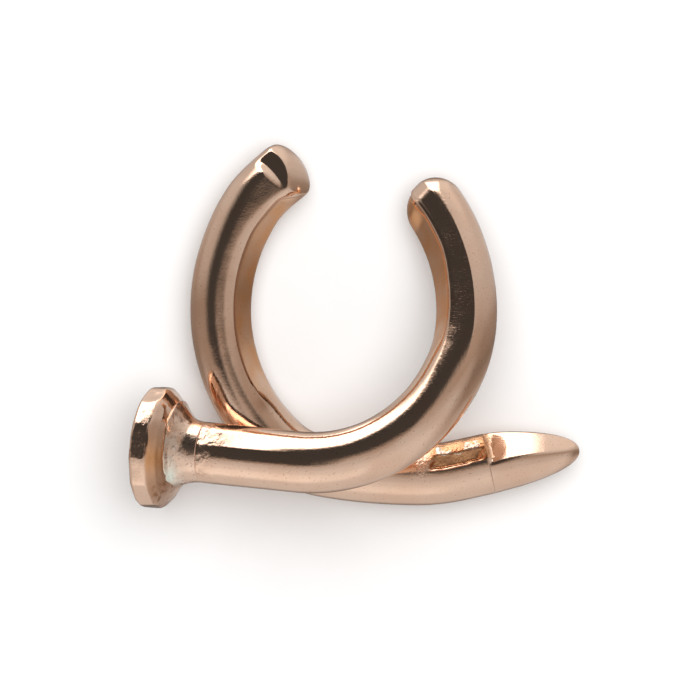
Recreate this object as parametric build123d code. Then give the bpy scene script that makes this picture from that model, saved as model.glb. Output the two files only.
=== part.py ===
from build123d import *
import math
import os

# Two bent nails hooked through one another, lying on a table.
# The pointed hook lies flat and the headed hook leans over it. The bars cross once, with a small gap
# between them, and seen from above they outline an open ring.
# Millimetres, +Z up, +X towards the nail's point, origin under the middle of the bounding box.
# Each nail is a straight run followed by bends, given as (radius, turn in degrees), all in one plane.

BAR_DIAMETER = 6.1
BAR_RADIUS = BAR_DIAMETER / 2

# Headed hook. Its plane slopes, so that the head's rim and the blunt end both rest on the table.
HEAD_ROOT = (-18.96, -12.36, 6.30)
HEADED_HEADING = -5.7
HEADED_SLOPE_X = 0.252
HEADED_SLOPE_Y = -0.4275
HEADED_STRAIGHT = 14.25
HEADED_BENDS = [(13.85, 50.7), (15.1, 50.0), (22.9, 37.0)]
HEADED_END_ROUNDING = 2.7

# Nail head, brazed to the shank: a thick rim, a conical underside, and a flared collar of filler.
HEAD_DIAMETER = 12.3
HEAD_RIM_THICKNESS = 1.75
HEAD_RIM_ROUNDING = 0.35
HEAD_CONE_HEIGHT = 1.2
HEAD_CONE_TOP_RADIUS = 4.25
HEAD_LEAN = 2.0
COLLAR_LENGTH = 3.9
COLLAR_BASE_RADIUS = 4.4
COLLAR_WAIST_RADIUS = 3.45
COLLAR_LIP_RADIUS = 3.2

# Pointed hook. It starts where the point is joined on and ends at the top of the ring's left side.
POINT_ROOT = (13.42, -13.96, BAR_RADIUS)
POINTED_HEADING = 192.5
POINTED_STRAIGHT = 3.0
POINTED_BENDS = [(19.25, -12.9), (54.0, -10.2), (8.2, -32.5), (18.5, -45.7), (19.1, -55.7)]
POINTED_END_ROUNDING = 2.3

# Point: an ogive with one flat facet. Places on its side are (distance from the root, radius).
POINT_HEADING = 8.15
POINT_LENGTH = 9.17
POINT_WAIST = (5.0, 2.2)
POINT_NOSE = (8.3, 1.15)
FACET_DEPTH = 0.90
FACET_TAPER = 8.0

# Flat on the shank beside the point, with a strip of filler on it. Both face the same way as the facet.
FACET_TURN = -40.0
FLAT_DEPTH = 1.05
FLAT_LENGTH = 5.6
STRIP_WIDTH = 2.2
STRIP_THICKNESS = 0.6
STRIP_OFFSET = -0.8
STRIP_INSET = 0.05

# Longer than anything that it cuts.
CUT = 20.0


def along(heading, slope_x=0.0, slope_y=0.0):
    """The direction that has this heading in plan and climbs with a sloping plane."""
    x = math.cos(math.radians(heading))
    y = math.sin(math.radians(heading))
    return Vector(x, y, slope_x * x + slope_y * y)


def headed_plane():
    normal = Vector(-HEADED_SLOPE_X, -HEADED_SLOPE_Y, 1)
    return Plane(HEAD_ROOT, x_dir=along(HEADED_HEADING, HEADED_SLOPE_X, HEADED_SLOPE_Y), z_dir=normal)


def pointed_plane():
    return Plane(POINT_ROOT, x_dir=along(POINTED_HEADING), z_dir=(0, 0, 1))


def bent_path(plane, straight, bends):
    edges = [Line((0, 0), (straight, 0))]
    for radius, turn in bends:
        edges.append(JernArc(edges[-1] @ 1, edges[-1] % 1, radius, turn))
    return plane * Wire(edges)


def blunt_bar(path, end_rounding):
    """A round bar along the path, with the end that lies at the end of the path domed."""
    bar = sweep(Plane(path @ 0, z_dir=path % 0) * Circle(BAR_RADIUS), path=path)
    end_face = bar.faces().filter_by(GeomType.PLANE).sort_by_distance(path @ 1)[0]
    return fillet(end_face.edges(), end_rounding)


def root_frame(path):
    """The frame at the start of a path: +Z runs along the bar, and +X lies level."""
    axis = path % 0
    return Plane(path @ 0, x_dir=Vector(0, 0, 1).cross(axis), z_dir=axis)


def make_nail_head(frame):
    rim_radius = HEAD_DIAMETER / 2
    profile = Polyline(
        (0, -HEAD_RIM_THICKNESS),
        (rim_radius, -HEAD_RIM_THICKNESS),
        (rim_radius, 0),
        (HEAD_CONE_TOP_RADIUS, HEAD_CONE_HEIGHT),
        (0, HEAD_CONE_HEIGHT),
        close=True,
    )
    head = revolve(Plane.XZ * make_face(profile), Axis.Z)
    rim_edges = head.edges().filter_by(GeomType.CIRCLE).sort_by(Edge.length)[-2:]
    head = fillet(rim_edges, HEAD_RIM_ROUNDING)
    return frame * Rot(X=-HEAD_LEAN) * head


def make_headed_shank(path, head):
    return blunt_bar(path, HEADED_END_ROUNDING) - head


def make_head_braze_collar(frame, head, shank):
    base = HEAD_CONE_HEIGHT / 2
    flare = ThreePointArc(
        (COLLAR_BASE_RADIUS, base),
        (COLLAR_WAIST_RADIUS, COLLAR_LENGTH / 2),
        (COLLAR_LIP_RADIUS, COLLAR_LENGTH),
    )
    rest = Polyline(flare @ 1, (0, COLLAR_LENGTH), (0, base), flare @ 0)
    profile = make_face([flare, rest])
    return frame * revolve(Plane.XZ * profile, Axis.Z) - head - shank


def facet_frame(origin, axis):
    """A frame whose +X faces out of the facet, turned about an axis that runs towards the tip."""
    facing = Vector(0, 0, 1).rotate(Axis((0, 0, 0), axis), FACET_TURN)
    return Plane(origin, x_dir=facing, z_dir=axis)


def make_nail_point(path):
    side = ThreePointArc((BAR_RADIUS, 0), POINT_WAIST[::-1], POINT_NOSE[::-1])
    nose = TangentArc(side @ 1, (0, POINT_LENGTH), tangent=side % 1)
    rest = Polyline((0, POINT_LENGTH), (0, -BAR_RADIUS), (BAR_RADIUS, -BAR_RADIUS), (BAR_RADIUS, 0))
    profile = make_face([side, nose, rest])
    point = Rot(Z=180) * revolve(Plane.XZ * profile, Axis.Z)
    facet = Pos(X=BAR_RADIUS - FACET_DEPTH + CUT / 2) * Box(CUT, CUT, 2 * CUT)
    point = facet_frame(path @ 0, along(POINT_HEADING)) * (point - Rot(Y=-FACET_TAPER) * facet)
    behind = Plane(path @ 0, z_dir=path % 0) * Pos(Z=CUT / 2) * Box(CUT, CUT, CUT)
    return point - behind


def make_pointed_shank(path):
    low = BAR_RADIUS - FLAT_DEPTH
    flat = Pos(X=low + CUT / 2, Z=-FLAT_LENGTH / 2) * Box(CUT, CUT, FLAT_LENGTH)
    return blunt_bar(path, POINTED_END_ROUNDING) - facet_frame(path @ 0, -(path % 0)) * flat


def make_point_braze_strip(path):
    low = BAR_RADIUS - FLAT_DEPTH
    strip = Box(STRIP_THICKNESS, STRIP_WIDTH, FLAT_LENGTH)
    strip = Pos(X=low + STRIP_THICKNESS / 2, Y=STRIP_OFFSET, Z=-FLAT_LENGTH / 2) * strip
    bar = Cylinder(BAR_RADIUS - STRIP_INSET, 2 * CUT)
    return facet_frame(path @ 0, -(path % 0)) * (strip & bar)


def make_pieces():
    over = bent_path(headed_plane(), HEADED_STRAIGHT, HEADED_BENDS)
    under = bent_path(pointed_plane(), POINTED_STRAIGHT, POINTED_BENDS)
    frame = root_frame(over)
    head = make_nail_head(frame)
    shank = make_headed_shank(over, head)
    return {
        "nail_head": head,
        "headed_shank": shank,
        "head_braze_collar": make_head_braze_collar(frame, head, shank),
        "pointed_shank": make_pointed_shank(under),
        "nail_point": make_nail_point(under),
        "point_braze_strip": make_point_braze_strip(under),
    }


def main():
    os.makedirs("parts", exist_ok=True)
    for name, piece in make_pieces().items():
        export_step(piece, f"parts/{name}.step")
        box = piece.bounding_box()
        print(name, box.min, box.max)


main()
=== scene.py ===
"""Two polished nails, bent into hooks and linked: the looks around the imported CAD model.

Shapes are worked out in millimetres, in the row frame, and scaled to metres when a mesh is made.
Each bar is a grid of rings along its centreline. Round a bar, 0 degrees faces up, and positive
angles turn towards the inside of the ring that the two hooks outline.
"""

import math

import bpy
import numpy as np
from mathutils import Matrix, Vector, noise


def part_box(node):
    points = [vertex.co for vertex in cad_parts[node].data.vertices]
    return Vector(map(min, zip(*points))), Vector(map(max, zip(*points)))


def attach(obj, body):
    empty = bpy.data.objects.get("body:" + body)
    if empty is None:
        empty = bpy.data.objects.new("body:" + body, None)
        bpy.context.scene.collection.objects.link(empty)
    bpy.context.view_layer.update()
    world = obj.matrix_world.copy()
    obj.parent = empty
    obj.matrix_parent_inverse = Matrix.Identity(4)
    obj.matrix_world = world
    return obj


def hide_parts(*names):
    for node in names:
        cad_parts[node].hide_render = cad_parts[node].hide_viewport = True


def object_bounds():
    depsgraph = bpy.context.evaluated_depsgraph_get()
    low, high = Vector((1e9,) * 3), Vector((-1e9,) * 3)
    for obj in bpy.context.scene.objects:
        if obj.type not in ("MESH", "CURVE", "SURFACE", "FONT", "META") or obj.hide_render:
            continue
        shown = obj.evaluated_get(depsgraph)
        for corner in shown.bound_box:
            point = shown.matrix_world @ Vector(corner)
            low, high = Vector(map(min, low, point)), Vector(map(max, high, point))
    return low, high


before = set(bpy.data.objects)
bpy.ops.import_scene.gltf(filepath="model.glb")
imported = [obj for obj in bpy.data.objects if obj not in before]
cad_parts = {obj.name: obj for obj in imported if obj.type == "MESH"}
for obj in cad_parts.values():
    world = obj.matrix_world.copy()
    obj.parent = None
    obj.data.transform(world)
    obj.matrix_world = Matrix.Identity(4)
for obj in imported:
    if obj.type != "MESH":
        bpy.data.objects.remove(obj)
CAD_LOW, CAD_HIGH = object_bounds()

MM = 0.001
UP = np.array((0.0, 0.0, 1.0))

# The bars: one diameter, taken from the flat-lying hook, and the two centrelines, as in the CAD.
SHANK_LOW, SHANK_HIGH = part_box("pointed_shank")
BAR_RADIUS = (SHANK_HIGH.z - SHANK_LOW.z) / 2 / MM
HEAD_ROOT = (-18.96, -12.36, 6.30)
HEADED_HEADING = -5.7
HEADED_SLOPE = (0.252, -0.4275)
HEADED_STRAIGHT = 14.25
HEADED_BENDS = [(13.85, 50.7), (15.1, 50.0), (22.9, 37.0)]
POINT_ROOT = (13.42, -13.96, BAR_RADIUS)
POINTED_HEADING = 192.5
POINTED_STRAIGHT = 3.0
POINTED_BENDS = [(19.25, -12.9), (54.0, -10.2), (8.2, -32.5), (18.5, -45.7), (19.1, -55.7)]
POINT_BENDS = [(26.0, -4.3), (4000.0, -0.1)]
BEND_EASING = 1.8

# Head, collar and point.
HEAD_RADIUS = 6.15
HEAD_LEAN = 2.0
COLLAR_LENGTH = 3.9
POINT_LENGTH = 9.3
POINT_SHOULDER = 1.5
POINT_FULLNESS = 0.47
FACET_TURN = 42.0
FACET_TAPER = 8.0
FACET_DOME = 20.0
HAMMER_DEPTH = 0.035
HEADED_END_EXTRA = 0.65

# Grids: distance between rings, and places round a ring.
RING_STEP = 0.16
AROUND = 144

# Camera: overhead, far enough to flatten perspective. The object lies a little off the middle.
CAMERA_HEIGHT = 1200.0
SUBJECT_HEIGHT = 6.0
PICTURE_WIDTH = 70.0
PICTURE_OFFSET = (-0.36, -2.55)
SENSOR_WIDTH = 36.0


# ---------------------------------------------------------------- shape helpers


def smooth(low, high, x):
    """0 below low, 1 above high, and an S curve between."""
    t = np.clip((x - low) / (high - low), 0.0, 1.0)
    return t * t * (3 - 2 * t)


def bump(x, centre, width):
    return np.exp(-(((x - centre) / width) ** 2))


def waves(points, size, seed):
    """Smooth noise from about -1 to 1 at each point, with features of this size in millimetres."""
    flat = points.reshape(-1, 3) / size + seed * 17.3
    values = [noise.noise(Vector(p)) for p in flat]
    return np.array(values).reshape(points.shape[:-1])


def press(points, place, facing, softness=0.04, where=1.0):
    """Points beyond a plane move back onto it where the mask is 1, which leaves a flat with a
    slightly soft edge."""
    facing = np.array(facing, float) / np.linalg.norm(facing)
    beyond = (points - np.array(place, float)) @ facing
    push = softness * np.logaddexp(0.0, beyond / softness) * where
    return points - push[..., None] * facing


def press_round(points, centre, radius, where, softness=0.05):
    """Points outside a sphere move back onto it where the mask is 1, which leaves a domed facet."""
    arm = points - np.array(centre, float)
    length = np.linalg.norm(arm, axis=-1)
    push = softness * np.logaddexp(0.0, (length - radius) / softness) * where
    return points - (push / length)[..., None] * arm


class BarLine:
    """The centreline of a bent bar. Its bends are eased into one another, as in a real bent bar."""

    def __init__(self, root, heading, slope, straight, bends, inward):
        step = 0.05
        starts, turns = [0.0, straight], [0.0, 0.0]
        for radius, turn in bends:
            starts.append(starts[-1] + radius * abs(math.radians(turn)))
            turns.append(turns[-1] + math.radians(turn))
        self.length = starts[-1]
        self.inward = inward
        self.along = np.arange(-BEND_EASING, self.length + BEND_EASING, step)
        turned = np.interp(self.along, starts, turns)
        last_bend = (turns[-1] - turns[-2]) / (starts[-1] - starts[-2])
        turned = turned + np.maximum(self.along - self.length, 0) * last_bend
        reach = int(BEND_EASING / step / 2)
        window = np.ones(2 * reach + 1) / (2 * reach + 1)
        turned = np.convolve(np.pad(turned, reach, mode="edge"), window, "valid")
        ahead, aside = self.plane_axes(heading, slope)
        self.tangent = np.cos(turned)[:, None] * ahead + np.sin(turned)[:, None] * aside
        steps = (self.tangent[1:] + self.tangent[:-1]) / 2 * step
        place = np.vstack([np.zeros(3), np.cumsum(steps, axis=0)])
        at_root = np.array([np.interp(0.0, self.along, place[:, i]) for i in range(3)])
        self.place = place - at_root + np.array(root)

    @staticmethod
    def plane_axes(heading, slope):
        x, y = math.cos(math.radians(heading)), math.sin(math.radians(heading))
        ahead = np.array((x, y, slope[0] * x + slope[1] * y))
        ahead /= np.linalg.norm(ahead)
        normal = np.array((-slope[0], -slope[1], 1.0))
        normal /= np.linalg.norm(normal)
        return ahead, np.cross(normal, ahead)

    def at(self, along):
        """Places on the line, and the directions along it, up from it and to the ring's inside."""
        place = np.stack([np.interp(along, self.along, self.place[:, i]) for i in range(3)], -1)
        ahead = np.stack([np.interp(along, self.along, self.tangent[:, i]) for i in range(3)], -1)
        ahead /= np.linalg.norm(ahead, axis=-1, keepdims=True)
        up = UP - (ahead @ UP)[..., None] * ahead
        up /= np.linalg.norm(up, axis=-1, keepdims=True)
        return place, ahead, up, self.inward * np.cross(ahead, up)


HEADED_LINE = BarLine(HEAD_ROOT, HEADED_HEADING, HEADED_SLOPE, HEADED_STRAIGHT, HEADED_BENDS, -1)
POINTED_LINE = BarLine(POINT_ROOT, POINTED_HEADING, (0, 0), POINTED_STRAIGHT, POINTED_BENDS, 1)
POINT_LINE = BarLine(POINT_ROOT, POINTED_HEADING - 180, (0, 0), 0.1, POINT_BENDS, -1)


def ring_angles():
    """Places round a ring in degrees, from under the bar round to under it again."""
    return np.arange(AROUND) * 360.0 / AROUND - 180.0


def grid_piece(name, rings, finish_and_painted_light, material, body, slot, *stands_for):
    """A closed mesh through rings of points, with a fan over each end. The third argument gives three
    shares at each point: tone, roughness and dark staining. Some of the tone and staining is painted
    reflection and painted shade."""
    count, around = rings.shape[:2]
    ends = [rings[0].mean(0), rings[-1].mean(0)]
    points = np.vstack([rings.reshape(-1, 3), ends]) * MM
    ring = np.arange(count - 1)[:, None] * around
    here, following = np.arange(around), np.roll(np.arange(around), -1)
    beyond = ring + around
    quads = np.stack([ring + here, ring + following, beyond + following, beyond + here], -1)
    first, last, top = count * around, count * around + 1, (count - 1) * around
    faces = quads.reshape(-1, 4).tolist()
    faces += [(first, b, a) for a, b in zip(here.tolist(), following.tolist())]
    faces += [(last, top + a, top + b) for a, b in zip(here.tolist(), following.tolist())]
    mesh = bpy.data.meshes.new(name)
    mesh.from_pydata(points.tolist(), [], faces)
    colours = np.ones((len(points), 4))
    colours[:-2, :3] = np.stack(finish_and_painted_light, -1).reshape(-1, 3)
    colours[-2:, :3] = 0
    layer = mesh.attributes.new("finish_and_painted_light", "FLOAT_COLOR", "POINT")
    layer.data.foreach_set("color", colours.astype(np.float32).ravel())
    mesh.shade_smooth()
    for face in mesh.polygons[-2 * around:]:
        face.use_smooth = False
    mesh.materials.append(material)
    made = bpy.data.objects.new(name, mesh)
    bpy.context.scene.collection.objects.link(made)
    outward_faces(made)
    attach(made, body)
    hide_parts(*stands_for)
    return made


def outward_faces(made):
    """Turns the faces outward if the grid was made inside out."""
    mesh = made.data
    mesh.calc_loop_triangles()
    corners = np.array([t.vertices[:] for t in mesh.loop_triangles])
    places = np.array([v.co[:] for v in mesh.vertices])
    a, b, c = (places[corners[:, i]] for i in range(3))
    if np.einsum("ij,ij->", a, np.cross(b, c)) < 0:
        mesh.flip_normals()


# ---------------------------------------------------------------- the two shanks


def bar_grid(start, end, end_rounding):
    """Ring places along a bar and each ring's share of the bar's radius. The far end is domed."""
    straight = np.arange(start, end - end_rounding, RING_STEP)
    quarter = np.radians(np.linspace(0, 90, 26)[1:])
    dome = end - end_rounding + end_rounding * np.sin(quarter)
    share = 1 - (1 - np.cos(quarter)) * end_rounding / BAR_RADIUS
    shrink = np.linspace(share[-1], 0.02, 6)[1:]
    along = np.concatenate([straight, dome, end + 0.03 * (1 - shrink / share[-1])])
    return along, np.concatenate([np.ones(len(straight)), share, shrink])


def bar_surface(line, along, radius, angles):
    place, ahead, up, inside = line.at(along)
    turn = np.radians(angles)
    sideways = np.sin(turn)[:, None] * inside[:, None, :]
    return place[:, None, :] + radius[..., None] * (np.cos(turn)[:, None] * up[:, None, :] + sideways)


def inner_facet(angles, crease, edge, strength):
    """The share of the radius left where a flat runs along the bar from crease to edge, in degrees."""
    half = (edge - crease) / 2
    away = angles[None, :] - (crease + half)[:, None]
    flat = np.cos(np.radians(half))[:, None] / np.cos(np.radians(np.clip(away, -89, 89)))
    return np.where(np.abs(away) < half[:, None], 1 - strength[:, None] * (1 - flat), 1.0)


def painted_inner_reflection(angles, crease, fades_from, gone_at):
    """Where the bar's inside is painted orange as a painted reflection of the opposite arm: from just past
    the crease round to these angles.
    """
    past_crease = smooth(crease[:, None] + 1, crease[:, None] + 5, angles[None, :])
    return past_crease * (1 - smooth(fades_from, gone_at, angles))[None, :]


def spokes(points, line, along):
    """The direction from the line out to each point."""
    arm = points - line.at(along)[0][:, None, :]
    return arm / np.maximum(np.linalg.norm(arm, axis=-1, keepdims=True), 0.1)


def hammered(points, line, along, seed):
    """Points moved off the line by long, medium and short waves, as a hand-finished bar has."""
    swell = waves(points, 4.5, seed) + 0.20 * waves(points, 1.3, seed + 1)
    swell += 0.05 * waves(points, 0.45, seed + 2)
    return points + spokes(points, line, along) * (swell * HAMMER_DEPTH)[..., None]


def headed_shank(material):
    line = HEADED_LINE
    end = line.length + HEADED_END_EXTRA
    along, share = bar_grid(0.8, end, 2.95)
    angles = ring_angles()
    crease = 40 - 5 * smooth(37, 42, along) - 8 * smooth(41, 47, along) + 6 * smooth(52, 54, along)
    everywhere = np.ones(len(along))
    strength = smooth(33, 39, along)
    lip_end = smooth(54.0, 54.35, along)
    low_flat = inner_facet(angles, 14.0 * everywhere, 46.0 * everywhere, 1 - smooth(9, 17, along))
    top_flat = inner_facet(angles, -14.0 * everywhere, crease - 1, smooth(27, 44, along))
    side_strength = strength * (1 - 0.55 * smooth(50.5, 52.5, along))
    side_flat = inner_facet(angles, crease, 96.0 * everywhere, side_strength)
    beside_crease = bump(angles[None, :], crease[:, None] - 7, 2.4) * 0.035
    groove = bump(angles[None, :], crease[:, None], 2.6) * 0.09 + beside_crease
    radius = BAR_RADIUS * share[:, None] * side_flat * low_flat * top_flat
    radius = radius - groove * strength[:, None] * share[:, None]
    past_lip = smooth(crease[:, None] - 3, crease[:, None] + 4, angles[None, :]) * lip_end[:, None]
    before_tip = (1 - smooth(end - 0.5, end, along))[:, None]
    radius = radius - 0.42 * past_lip * before_tip * (angles < 130)[None, :]
    points = bar_surface(line, along, radius, angles)
    points = hammered(points, line, along, 1)
    # Painted reflection: past the crease, the arm's inside is painted orange where the opposite arm is
    # reflected.
    strip = painted_inner_reflection(angles, crease, 88, 104)
    warm = np.clip(strip * strength[:, None] * (0.75 + 0.5 * waves(points, 1.6, 9)), 0, 1)
    rough = filler_smear(points, along, angles)
    # Painted reflection: the crease groove is painted brown so that it shows the thin orange line that the
    # opposite arm's reflection draws along the crease.
    stain_and_painted_light = np.clip(0.7 * groove / 0.09 * strength[:, None], 0, 1)
    finish_and_painted_light = (warm, rough, stain_and_painted_light)
    return grid_piece(
        "headed_shank_polished", points, finish_and_painted_light, material, "headed_hook", "polished_bar", "headed_shank"
    )


def filler_smear(points, along, angles):
    """Where filler from the collar is smeared along the headed bar."""
    near = (1 - smooth(4.5, 8.0, along))[:, None]
    speckle = smooth(-0.1, 0.5, waves(points, 0.7, 4))
    return np.clip(near * (0.25 + 0.6 * speckle) * bump(angles, 10, 95)[None, :], 0, 1)


def pointed_shank(material):
    line = POINTED_LINE
    along, share = bar_grid(-RING_STEP, line.length, 2.45)
    angles = ring_angles()
    crease = 28.5 + 8 * smooth(45, 49, along) + 34 * smooth(49.8, 52.6, along)
    edge = np.full(len(along), 95.0)
    strength = smooth(24.5, 30.5, along) * (1 - smooth(52.0, 53.2, along))
    facet = inner_facet(angles, crease, edge, strength)
    groove = bump(angles[None, :], crease[:, None], 2.2) * 0.07
    radius = BAR_RADIUS * share[:, None] * facet - groove * strength[:, None] * share[:, None]
    points = bar_surface(line, along, radius, angles)
    shift = 0.40 * smooth(48, 53, along)
    points = points + shift[:, None, None] * line.at(along)[3][:, None, :]
    points = ledge_beside_point(points, line, along)
    points = blunt_end_facets(points, line, along)
    points = hammered(points, line, along, 5)
    # Painted reflection: past the crease, the arm's inside is painted orange where the opposite arm is
    # reflected. The ledge beside the point is painted orange too.
    strip = painted_inner_reflection(angles, crease, 86, 100)
    warm = strip * strength[:, None] * (0.7 + 0.5 * waves(points, 1.8, 19))
    round_ledge = smooth(8, 12, angles) * (1 - smooth(80, 90, angles))
    on_ledge = (1 - smooth(5.0, 6.6, along))[:, None] * round_ledge[None, :]
    warm = np.clip(warm + 0.95 * on_ledge, 0, 1)
    smear = bump(along, 6.7, 0.9)[:, None] * bump(angles, 24, 22)[None, :]
    browned = on_ledge * (0.35 + 0.5 * smooth(-0.2, 0.4, waves(points, 0.8, 52)))
    rough = np.clip(0.5 * on_ledge + smear, 0, 1)
    # Brown share: the crease groove is painted brown for the opposite arm's reflected line, a painted
    # reflection. The ledge gets brown speckle, and the small stains are real.
    stain_and_painted_light = np.clip(groove / 0.07 * strength[:, None] * 0.8 + browned + end_stains(points, line), 0, 1)
    finish_and_painted_light = (warm, rough, stain_and_painted_light)
    return grid_piece(
        "pointed_shank_polished", points, finish_and_painted_light, material, "pointed_hook", "polished_bar", "pointed_shank"
    )


# Stains on the pointed shank: (along, inward, size, share), the first three in millimetres.
STAINS = [(54.1, 2.75, 0.35, 0.8), (53.75, 2.1, 0.16, 0.5), (26.0, 1.55, 0.9, 0.55)]


def ledge_beside_point(points, line, along):
    """Sinks a narrow ledge into the bar beside the point. It rises towards the ring's inside, to a
    ridge, and ends in a step."""
    place, _, up, inside = line.at(along)
    arm = points - place[:, None, :]
    across = np.einsum("ijk,ik->ij", arm, inside)
    height = np.einsum("ijk,ik->ij", arm, up)
    floor = 2.22 + 0.17 * (across - 0.55) + 0.05 * waves(points, 0.7, 51)
    edge = across + 0.16 * waves(place[:, None, :], 1.1, 56)
    on_ledge = smooth(0.45, 0.66, edge) * (1 - smooth(1.85, 2.05, across))
    on_ledge = on_ledge * smooth(-0.1, 0.9, along[:, None] + 0.5 * (across - 1))
    ends_at = 5.9 + 0.3 * np.sin(2.6 * across)
    on_ledge = on_ledge * (1 - smooth(ends_at - 0.7, ends_at, along[:, None])) * (height > 0)
    sink = np.maximum(height - floor, 0) * on_ledge
    return points - sink[..., None] * up[:, None, :]


def blunt_end_facets(points, line, along):
    """Flattens the top of the bar towards its blunt end, cuts the end into a domed, leaning face,
    and cuts a small flat across that face."""
    face_at = 52.45
    place, ahead, up, inside = (v[0] for v in line.at(np.array([face_at])))
    top = place + up * (BAR_RADIUS - 0.42)
    tilt = math.radians(3.6)
    near_end = smooth(face_at - 11, face_at - 7, along)[:, None]
    points = press(points, top, up * math.cos(tilt) + ahead * math.sin(tilt), 0.05, near_end)
    lean, dome = math.radians(34), 4.9
    centre = top - dome * (math.sin(lean) * ahead + math.cos(lean) * up)
    past = smooth(face_at - 1.5, face_at - 0.6, along)[:, None]
    points = press_round(points, centre, dome, past, 0.03)
    spot = place + ahead * 0.9 - inside * 1.5
    away = np.linalg.norm((points - spot)[..., :2], axis=-1) + 10.0 * (points[..., 2] < place[2])
    on_face = points.reshape(-1, 3)[np.argmin(away)]
    return press(points, on_face + UP * 0.22, (-0.20, 0.24, 0.95), 0.06, past)


def end_stains(points, line):
    """Small brown stains, two on the blunt end and one along the arm."""
    total = 0.0
    for along, inward, size, share in STAINS:
        place, _, up, inside = (v[0] for v in line.at(np.array([along])))
        spot = place + inside * inward + up * math.sqrt(max(BAR_RADIUS**2 - inward**2, 0.1))
        total = total + share * np.exp(-((np.linalg.norm(points - spot, axis=-1) / size) ** 2))
    return total


# ---------------------------------------------------------------- head, collar, point and strip


def head_axes():
    """The head's centre and its directions: along the bar, up, and to the ring's inside."""
    place, ahead, up, inside = (v[0] for v in HEADED_LINE.at(np.array([0.0])))
    lean = math.radians(-HEAD_LEAN)
    level = np.cross(UP, ahead)
    level /= np.linalg.norm(level)
    leant = ahead * math.cos(lean) + np.cross(level, ahead) * math.sin(lean)
    leant_up = UP - (leant @ UP) * leant
    leant_up /= np.linalg.norm(leant_up)
    return place, leant, leant_up, np.cross(leant_up, leant)


def turned_rings(profile, angles, axes):
    """Rings round an axis, through (along, radius) places on a profile."""
    place, ahead, up, inside = axes
    along, radius = np.array(profile).T
    turn = np.radians(angles)
    spoke = np.cos(turn)[:, None] * up + np.sin(turn)[:, None] * inside
    return place + along[:, None, None] * ahead + radius[:, None, None] * spoke[None, :, :]


def refined(profile, step):
    """The profile with points added, so that none are further apart than the step."""
    points = [np.array(profile[0], float)]
    for target in profile[1:]:
        start, target = points[-1], np.array(target, float)
        count = max(1, math.ceil(np.linalg.norm(target - start) / step))
        points += [start + (target - start) * k / count for k in range(1, count + 1)]
    return np.array(points)


# Flats hammered round the head's rim: (degrees from the top, depth in millimetres).
HEAD_FLATS = [
    (-150, 0.20), (-118, 0.30), (-84, 0.16), (-57, 0.26), (-24, 0.14), (3, 0.22), (33, 0.12),
    (61, 0.28), (88, 0.14), (122, 0.24), (163, 0.18),
]


def nail_head(material):
    outer, crease = -1.75, 0.05
    profile = [
        (outer + 0.10, 0.05), (outer, 3.0), (outer + 0.02, 5.55), (outer + 0.12, 5.9), (outer + 0.35, 6.1),
        (-0.9, HEAD_RADIUS), (-0.3, HEAD_RADIUS), (crease, 6.08), (0.35, 5.85), (0.9, 5.25), (1.35, 4.6),
        (1.7, 3.9), (1.95, 2.8), (1.95, 0.05),
    ]
    profile = refined(profile, 0.14)
    angles = ring_angles()
    axes = head_axes()
    place, ahead, up, inside = axes
    points = turned_rings(profile, angles, axes)
    for angle, depth in HEAD_FLATS:
        turn = math.radians(angle)
        facing = math.cos(turn) * up + math.sin(turn) * inside
        tipped = facing + ahead * 0.10 * math.sin(3 * turn)
        points = press(points, place + facing * (HEAD_RADIUS - depth) - ahead * 0.7, tipped, 0.06)
    middle = place + profile[:, 0][:, None, None] * ahead
    arm = points - middle
    reach = np.linalg.norm(arm, axis=-1)
    spoke = arm / np.maximum(reach, 0.2)[..., None]
    at_camera = bump(angles, 2, 26)[None, :] * (np.abs(profile[:, 0] + 0.85) < 0.85)[:, None]
    dents = 0.055 * waves(points, 1.7, 31) + 0.02 * waves(points, 0.6, 32)
    dents = dents + at_camera * 0.06 * waves(points * np.array((1.0, 2.2, 1.0)), 0.50, 33)
    points = points + spoke * dents[..., None]
    outer_face = (profile[:, 0] < outer + 0.3)[:, None]
    points = points + ahead * (outer_face * 0.07 * np.abs(waves(points, 2.1, 34)))[..., None]
    # On the head's underside: orange near the top, and darker brown with speckle towards the ring's
    # outside.
    under = smooth(0.0, 0.3, profile[:, 0])[:, None]
    warm = under * bump(angles, -12, 20)[None, :]
    low_side = under * bump(angles, -66, 20)[None, :]
    speckle = smooth(0.0, 0.5, waves(points, 0.5, 35))
    rough = np.clip(low_side * (0.4 + 0.6 * speckle) + at_camera * 0.3, 0, 1)
    brown = 0.75 * under * bump(angles, -50, 30)[None, :]
    stain_and_painted_light = np.clip(low_side * speckle * 0.5 + brown, 0, 1)
    finish_and_painted_light = (warm, rough, stain_and_painted_light)
    return grid_piece(
        "nail_head_hammered", points, finish_and_painted_light, material, "headed_hook", "polished_bar", "nail_head"
    )


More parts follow.
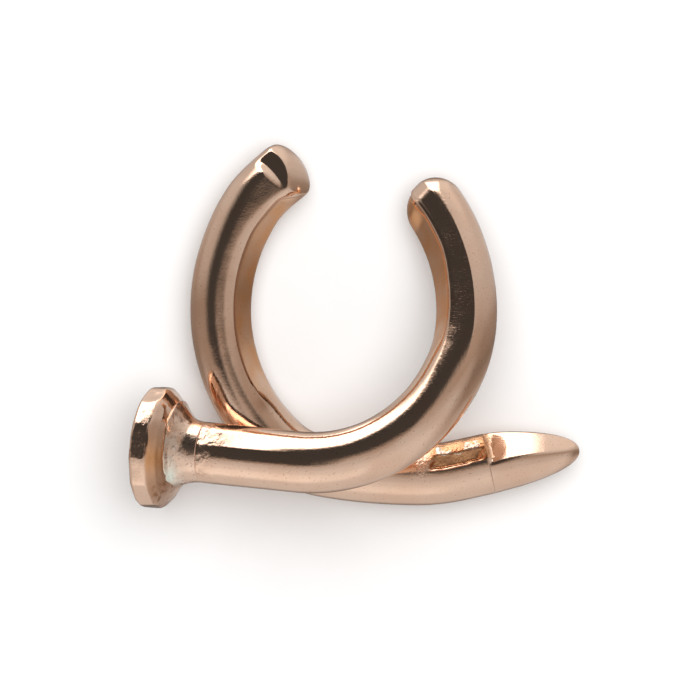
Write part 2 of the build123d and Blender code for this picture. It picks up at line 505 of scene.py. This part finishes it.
def head_braze_collar(material):
    profile = [
        (1.1, 0.1), (1.2, 4.2), (1.5, 4.45), (1.8, 4.0), (2.2, 3.62), (2.65, 3.34), (3.1, 3.18),
        (3.5, 3.10), (COLLAR_LENGTH, 3.055), (COLLAR_LENGTH + 0.4, 3.01), (COLLAR_LENGTH + 0.4, 0.1),
    ]
    profile = refined(profile, 0.10)
    angles = ring_angles()
    axes = head_axes()
    place, ahead = axes[:2]
    points = turned_rings(profile, angles, axes)
    along = profile[:, 0]
    middle = place + along[:, None, None] * ahead
    arm = points - middle
    reach = np.linalg.norm(arm, axis=-1)
    spoke = arm / np.maximum(reach, 0.2)[..., None]
    fuller = 0.50 * bump(along, 1.7, 0.9)[:, None] * bump(angles, 80, 48)[None, :]
    leaner = 0.40 * bump(along, 1.4, 0.9)[:, None] * bump(angles, -85, 45)[None, :]
    lumps = 0.07 * waves(points, 1.0, 41) + 0.035 * waves(points, 0.42, 42)
    lumps = lumps + 0.015 * waves(points, 0.22, 43)
    filed = smooth(1.6, 2.4, along)[:, None] * bump(angles, 50, 34)[None, :]
    streaks = 0.05 * waves(points @ np.diag((0.5, 2.6, 2.6)), 0.5, 44)
    feather = 1 - smooth(2.2, COLLAR_LENGTH, along)[:, None]
    offset = (fuller - leaner + lumps * (1 - 0.7 * filed) + streaks * filed) * feather
    points = points + spoke * (offset * (reach > 2.5))[..., None]
    pale = bump(along, 1.8, 0.6)[:, None] * bump(angles, -46, 20)[None, :]
    dark = bump(along, 1.0, 0.7)[:, None] * bump(angles, -84, 18)[None, :]
    bare = np.maximum(filed, smooth(2.2, 3.4, along)[:, None])
    cover = (1 - 0.9 * bare) * smooth(-0.3, 0.5, waves(points, 0.9, 45))
    finish_and_painted_light = (pale, cover, dark)
    return grid_piece(
        "head_braze_collar_rough", points, finish_and_painted_light, material, "headed_hook", "braze_filler",
        "head_braze_collar",
    )


def nail_point(material):
    line = POINT_LINE
    steps = 1 - np.linspace(1, 0.0, 90) ** 1.6
    along = steps * (POINT_LENGTH - 0.01)
    left = 1 - (along / POINT_LENGTH) ** POINT_SHOULDER
    radius = BAR_RADIUS * left**POINT_FULLNESS
    angles = ring_angles()
    points = bar_surface(line, along, np.repeat(radius[:, None], AROUND, axis=1), angles)
    root, ahead, up, inside = (v[0] for v in line.at(np.array([0.0])))
    from_root = smooth(-0.1, 0.5, along)[:, None]
    turn, taper = math.radians(FACET_TURN), math.radians(FACET_TAPER)
    facing = (math.cos(turn) * up + math.sin(turn) * inside) * math.cos(taper) + ahead * math.sin(taper)
    centre = root + facing * (BAR_RADIUS - 0.90 - FACET_DOME) + ahead * 3.0
    points = press_round(points, centre, FACET_DOME, from_root, 0.06)
    swell = waves(points, 4.5, 5) + 0.20 * waves(points, 1.3, 6)
    swell = HAMMER_DEPTH * (swell + 0.05 * waves(points, 0.45, 7))
    on_inside = (smooth(8, 20, angles) * (1 - smooth(95, 110, angles)))[None, :]
    torn = (1 - smooth(0.2, 0.9, along[:, None] + 0.25 * waves(points, 0.8, 58))) * on_inside
    tear = 0.06 * waves(points, 0.6, 53) + 0.03 * waves(points, 0.28, 54) - 0.04
    swell = swell + torn * from_root * tear
    points = points + spokes(points, line, along) * swell[..., None]
    stain_and_painted_light = 0.35 * torn * smooth(0.1, 0.5, waves(points, 0.4, 55))
    finish_and_painted_light = (torn * 0.9, torn, stain_and_painted_light)
    return grid_piece(
        "nail_point_polished", points, finish_and_painted_light, material, "pointed_hook", "polished_bar", "nail_point"
    )


def point_braze_strip(material):
    """A rough bead on the far side of the ledge, from its ridge down the bar's inner side."""
    line = POINTED_LINE
    along = np.concatenate([[0.02], np.arange(0.1, 5.7, 0.09), [5.78]])
    place, _, up, inside = line.at(along)
    outline = [
        (1.45, 2.10), (1.62, 2.38), (1.88, 2.50), (2.10, 2.30), (2.52, 1.76), (2.86, 1.12), (3.02, 0.45),
        (2.6, 0.3), (1.7, 1.5), (1.45, 2.10),
    ]
    outline = refined(outline, 0.10)[:-1]
    ends = smooth(-0.8, 0.9, along) * (1 - smooth(4.6, 6.2, along))
    sway = 0.10 * np.sin(along * 1.7) + 0.07 * np.sin(along * 3.9 + 1.0) - 0.22 * (1 - ends)
    across = outline[:, 0][None, :] + sway[:, None] * (outline[:, 1] > 1.6)[None, :]
    height = outline[:, 1][None, :] - 0.35 * (1 - ends)[:, None]
    outward = across[..., None] * inside[:, None, :] + height[..., None] * up[:, None, :]
    points = place[:, None, :] + outward
    outward = outward / np.linalg.norm(outward, axis=-1, keepdims=True)
    lumps = 0.055 * waves(points, 0.8, 61) + 0.045 * waves(points, 0.34, 62)
    lumps = lumps + 0.02 * waves(points, 0.18, 63)
    points = points + outward * (lumps - 0.05)[..., None]
    # Painted shade: a dark line along the bead's ridge, for the shade in the undercut at the ledge's step.
    ridge = bump(across, 1.86, 0.10)
    cover = 0.55 + 0.45 * smooth(-0.3, 0.3, waves(points, 0.5, 64))
    finish_and_painted_light = (np.zeros_like(ridge), cover, np.clip(ridge * 0.75, 0, 1))
    return grid_piece(
        "point_braze_strip_rough", points, finish_and_painted_light, material, "pointed_hook", "braze_filler",
        "point_braze_strip",
    )


# ---------------------------------------------------------------- materials


def new_material(name):
    material = bpy.data.materials.new(name)
    material.use_nodes = True
    tree = material.node_tree
    return material, tree, tree.nodes["Principled BSDF"]


def math_node(tree, operation, first, second=None):
    node = tree.nodes.new("ShaderNodeMath")
    node.operation = operation
    for socket, value in zip(node.inputs, (first, second)):
        if isinstance(value, (int, float)):
            socket.default_value = value
        elif value is not None:
            tree.links.new(value, socket)
    return node.outputs[0]


def mix_colour(tree, share, first, second):
    node = tree.nodes.new("ShaderNodeMix")
    node.data_type = "RGBA"
    for socket, value in zip((node.inputs[0], node.inputs[6], node.inputs[7]), (share, first, second)):
        if isinstance(value, tuple):
            socket.default_value = (*value, 1.0)
        elif isinstance(value, (int, float)):
            socket.default_value = value
        else:
            tree.links.new(value, socket)
    return node.outputs[2]


def noise_node(tree, size, detail=2.0, stretch=(1, 1, 1)):
    """Noise with features of this size in millimetres, in the object's own coordinates."""
    coordinates = tree.nodes.new("ShaderNodeTexCoord")
    mapping = tree.nodes.new("ShaderNodeMapping")
    mapping.inputs["Scale"].default_value = stretch
    tree.links.new(coordinates.outputs["Object"], mapping.inputs["Vector"])
    node = tree.nodes.new("ShaderNodeTexNoise")
    node.inputs["Scale"].default_value = 1 / (size * MM)
    node.inputs["Detail"].default_value = detail
    tree.links.new(mapping.outputs["Vector"], node.inputs["Vector"])
    return node.outputs[0]


def remap(tree, value, low, high, to_low=0.0, to_high=1.0):
    node = tree.nodes.new("ShaderNodeMapRange")
    node.interpolation_type = "SMOOTHSTEP"
    for name, number in (("From Min", low), ("From Max", high), ("To Min", to_low), ("To Max", to_high)):
        node.inputs[name].default_value = number
    tree.links.new(value, node.inputs["Value"])
    return node.outputs[0]


def bump_node(tree, height, depth, under=None):
    """Relief of this depth in millimetres."""
    node = tree.nodes.new("ShaderNodeBump")
    node.inputs["Distance"].default_value = depth * MM
    tree.links.new(height, node.inputs["Height"])
    if under is not None:
        tree.links.new(under, node.inputs["Normal"])
    return node.outputs[0]


def finish_and_painted_light_shares(tree):
    attribute = tree.nodes.new("ShaderNodeAttribute")
    attribute.attribute_name = "finish_and_painted_light"
    separate = tree.nodes.new("ShaderNodeSeparateColor")
    tree.links.new(attribute.outputs["Color"], separate.inputs[0])
    return separate.outputs[0], separate.outputs[1], separate.outputs[2]


def polished_copper_gold():
    """Polished rose-coloured alloy: fine orange peel, hair scratches, orange painted reflections along the
    arms' insides, brown painted reflection lines along the creases, and brown stains.
    """
    material, tree, shader = new_material("polished_copper_gold")
    warm, rough, stain_and_painted_light = finish_and_painted_light_shares(tree)
    patches = remap(tree, noise_node(tree, 3.2), 0.35, 0.75)
    colour = mix_colour(tree, patches, (0.94, 0.655, 0.49), (0.90, 0.60, 0.435))
    # The orange share: on the arms' insides it is a painted reflection of the opposite arm.
    colour = mix_colour(tree, warm, colour, (0.93, 0.47, 0.22))
    # The brown share is partly real stains and partly painted: along the creases it is a painted
    # reflection line.
    colour = mix_colour(tree, stain_and_painted_light, colour, (0.42, 0.20, 0.10))
    pits = remap(tree, noise_node(tree, 0.22, 1.0), 0.66, 0.74)
    colour = mix_colour(tree, math_node(tree, "MULTIPLY", pits, 0.35), colour, (0.45, 0.24, 0.14))
    tree.links.new(colour, shader.inputs["Base Color"])
    shader.inputs["Metallic"].default_value = 1.0
    sheen = remap(tree, noise_node(tree, 0.8, 3.0), 0.3, 0.75, 0.07, 0.12)
    with_rough = math_node(tree, "MULTIPLY_ADD", rough, 0.22)
    tree.links.new(sheen, with_rough.node.inputs[2])
    tree.links.new(with_rough, shader.inputs["Roughness"])
    peel = bump_node(tree, noise_node(tree, 0.24, 2.0), 0.006)
    hairs = remap(tree, noise_node(tree, 0.5, 2.0, (1.0, 5.0, 1.0)), 0.58, 0.64)
    scratches = bump_node(tree, hairs, 0.0008, peel)
    grit = math_node(tree, "MULTIPLY", noise_node(tree, 0.30, 3.0), rough)
    tree.links.new(bump_node(tree, grit, 0.16, scratches), shader.inputs["Normal"])
    return material


def rough_filler():
    """Brazing filler: pale, lumpy and dull, bare metal where it was filed."""
    material, tree, shader = new_material("rough_filler")
    pale, cover, dark = finish_and_painted_light_shares(tree)
    mottle = remap(tree, noise_node(tree, 0.9, 3.0), 0.38, 0.64)
    dull = mix_colour(tree, mottle, (0.90, 0.74, 0.62), (0.80, 0.62, 0.49))
    colour = mix_colour(tree, cover, (0.94, 0.66, 0.50), dull)
    colour = mix_colour(tree, pale, colour, (0.72, 0.76, 0.66))
    specks = remap(tree, noise_node(tree, 0.28, 2.0), 0.60, 0.70)
    colour = mix_colour(tree, math_node(tree, "MULTIPLY", specks, 0.55), colour, (0.20, 0.12, 0.08))
    # The dark share is painted shade along the point strip's undercut, and a dark patch on the collar's
    # outer side next to the head.
    colour = mix_colour(tree, dark, colour, (0.30, 0.17, 0.11))
    tree.links.new(colour, shader.inputs["Base Color"])
    metal = math_node(tree, "MULTIPLY_ADD", pale, -0.6)
    metal.node.inputs[2].default_value = 1.0
    tree.links.new(metal, shader.inputs["Metallic"])
    dullness = math_node(tree, "MULTIPLY_ADD", cover, 0.18)
    dullness.node.inputs[2].default_value = 0.16
    tree.links.new(dullness, shader.inputs["Roughness"])
    fine = bump_node(tree, noise_node(tree, 0.20, 3.0), 0.016)
    coarse = math_node(tree, "MULTIPLY", noise_node(tree, 0.45, 3.0), cover)
    tree.links.new(bump_node(tree, coarse, 0.09, fine), shader.inputs["Normal"])
    return material


def floor_material():
    material, tree, shader = new_material("pale_floor")
    grain = remap(tree, noise_node(tree, 6.0, 2.0), 0.3, 0.7)
    colour = mix_colour(tree, grain, (0.86, 0.86, 0.86), (0.87, 0.87, 0.87))
    tree.links.new(colour, shader.inputs["Base Color"])
    shader.inputs["Roughness"].default_value = 0.9
    shader.inputs["Specular IOR Level"].default_value = 0.1
    return material


# ---------------------------------------------------------------- studio

# The studio's brightness by direction. Each column runs from straight down, through the side
# nearest -Y, overhead at 0 and the side nearest +Y, to straight down again. Columns stand at
# angles from overhead towards +X, and a soft box hangs over the +Y side. The stops were set
# from how bright the real bars look in each direction, so the light is matched to them.
STUDIO_COLUMNS = [
    ((-122, -92), [
        (-180, 0.04), (-172, 0.08), (-150, 0.2), (-60, 0.36), (-30, 0.23), (0, 0.26), (30, 0.36),
        (60, 0.46), (110, 0.4), (150, 0.2), (180, 0.08),
    ]),
    ((-70, -45), [
        (-180, 0.04), (-172, 0.08), (-150, 0.3), (-60, 0.58), (-45, 0.56), (-15, 0.3), (0, 0.28),
        (22, 0.46), (45, 0.56), (75, 0.6), (110, 0.5), (150, 0.25), (180, 0.08),
    ]),
    ((-28, -12), [
        (-180, 0.04), (-172, 0.08), (-155, 0.3), (-130, 0.62), (-92, 0.66), (-74, 0.95), (-60, 0.9),
        (-42, 0.72), (-21, 0.54), (-14, 0.28), (-9, 0.055), (50, 0.05), (54, 0.4), (58, 2.6),
        (112, 2.6), (122, 0.75), (155, 0.22), (180, 0.05),
    ]),
    ((5, 19), [
        (-180, 0.04), (-172, 0.08), (-155, 0.3), (-130, 0.62), (-92, 0.66), (-72, 0.86), (-60, 0.82),
        (-42, 0.7), (-18, 0.54), (-6, 0.4), (2, 0.18), (8, 0.055), (60, 0.05), (66, 0.4), (70, 2.6),
        (112, 2.6), (122, 0.75), (155, 0.22), (180, 0.05),
    ]),
    ((50, 85), [
        (-180, 0.04), (-172, 0.08), (-155, 0.3), (-130, 0.6), (-75, 0.68), (-45, 0.68), (-15, 0.55),
        (0, 0.44), (14, 0.35), (30, 0.37), (46, 0.52), (62, 0.62), (85, 0.8), (115, 0.8), (150, 0.3),
        (180, 0.08),
    ]),
    (None, [
        (-180, 0.04), (-172, 0.08), (-150, 0.25), (-90, 0.5), (-60, 0.44), (-30, 0.27), (-12, 0.21),
        (12, 0.27), (45, 0.5), (62, 0.57), (95, 0.62), (130, 0.42), (160, 0.2), (180, 0.08),
    ]),
]
WARM_BELOW = 0.45
WARM_TINT = (1.10, 0.95, 0.84)


def studio_colour(brightness):
    """Dim parts of the studio are a little warm, and its darkest part and its lamps are neutral."""
    not_bright = 1 - smooth(WARM_BELOW - 0.15, WARM_BELOW + 0.1, brightness)
    share = float(smooth(0.10, 0.2, brightness) * not_bright)
    return [brightness * (1 + share * (tint - 1)) for tint in WARM_TINT] + [1.0]


def studio_ramp(tree, position, stops):
    node = tree.nodes.new("ShaderNodeValToRGB")
    node.color_ramp.interpolation = "EASE"
    elements = node.color_ramp.elements
    elements.remove(elements[1])
    for index, (angle, brightness) in enumerate(stops):
        place = (angle + 180) / 360
        element = elements[0] if index == 0 else elements.new(place)
        element.position = place
        element.color = studio_colour(brightness)
    tree.links.new(position, node.inputs[0])
    return node.outputs[0]


def studio_world():
    world = bpy.data.worlds.new("studio")
    bpy.context.scene.world = world
    world.use_nodes = True
    tree = world.node_tree
    coordinates = tree.nodes.new("ShaderNodeTexCoord")
    parts = tree.nodes.new("ShaderNodeSeparateXYZ")
    tree.links.new(coordinates.outputs["Generated"], parts.inputs[0])
    x, y, z = parts.outputs
    from_overhead = math_node(tree, "MULTIPLY", math_node(tree, "ARCCOSINE", z), 180 / math.pi)
    x_squared = math_node(tree, "POWER", x, 2)
    y_squared = math_node(tree, "POWER", y, 2)
    flat = math_node(tree, "SQRT", math_node(tree, "ADD", x_squared, y_squared))
    scale = math_node(tree, "DIVIDE", from_overhead, math_node(tree, "MAXIMUM", flat, 1e-5))
    across = math_node(tree, "MULTIPLY", x, scale)
    position = math_node(tree, "MULTIPLY_ADD", math_node(tree, "MULTIPLY", y, scale), 1 / 360)
    position.node.inputs[2].default_value = 0.5
    colour = None
    gap = None
    for following_gap, stops in STUDIO_COLUMNS:
        column = studio_ramp(tree, position, stops)
        colour = column if colour is None else mix_colour(tree, remap(tree, across, *gap), colour, column)
        gap = following_gap
    rays = tree.nodes.new("ShaderNodeLightPath")
    colour = mix_colour(tree, rays.outputs["Is Camera Ray"], colour, (0.9, 0.9, 0.9))
    tree.links.new(colour, tree.nodes["Background"].inputs["Color"])


def studio_floor():
    size = 1.5
    mesh = bpy.data.meshes.new("studio_floor")
    corners = [(-size, -size, 0), (size, -size, 0), (size, size, 0), (-size, size, 0)]
    mesh.from_pydata(corners, [], [(0, 1, 2, 3)])
    mesh.materials.append(floor_material())
    floor = bpy.data.objects.new("studio_floor", mesh)
    floor.location.z = CAD_LOW.z
    floor.visible_glossy = False
    bpy.context.scene.collection.objects.link(floor)


def overhead_lamp():
    """Evens out the floor. Metal doesn't mirror it."""
    lamp = bpy.data.lights.new("overhead_lamp", "AREA")
    lamp.shape = "DISK"
    lamp.size = 0.7
    lamp.energy = 3.7
    holder = bpy.data.objects.new("overhead_lamp", lamp)
    holder.location = (0.05, 0.12, 0.55)
    holder.rotation_euler = (Vector((0, 0, 0)) - holder.location).to_track_quat("-Z", "Y").to_euler()
    holder.visible_glossy = False
    holder.visible_camera = False
    bpy.context.scene.collection.objects.link(holder)


def overhead_camera():
    camera = bpy.data.cameras.new("overhead_camera")
    camera.sensor_width = SENSOR_WIDTH
    camera.lens = SENSOR_WIDTH * CAMERA_HEIGHT / PICTURE_WIDTH
    camera.clip_start, camera.clip_end = 0.01, 10.0
    holder = bpy.data.objects.new("overhead_camera", camera)
    middle = (CAD_LOW + CAD_HIGH) / 2
    x, y = middle.x + PICTURE_OFFSET[0] * MM, middle.y + PICTURE_OFFSET[1] * MM
    holder.location = (x, y, (SUBJECT_HEIGHT + CAMERA_HEIGHT) * MM)
    bpy.context.scene.collection.objects.link(holder)
    bpy.context.scene.camera = holder
    bpy.context.scene.view_settings.view_transform = "Standard"


overhead_camera()
studio_world()
studio_floor()
overhead_lamp()

POLISHED = polished_copper_gold()
FILLER = rough_filler()
headed_shank(POLISHED)
pointed_shank(POLISHED)
nail_head(POLISHED)
nail_point(POLISHED)
head_braze_collar(FILLER)
point_braze_strip(FILLER)
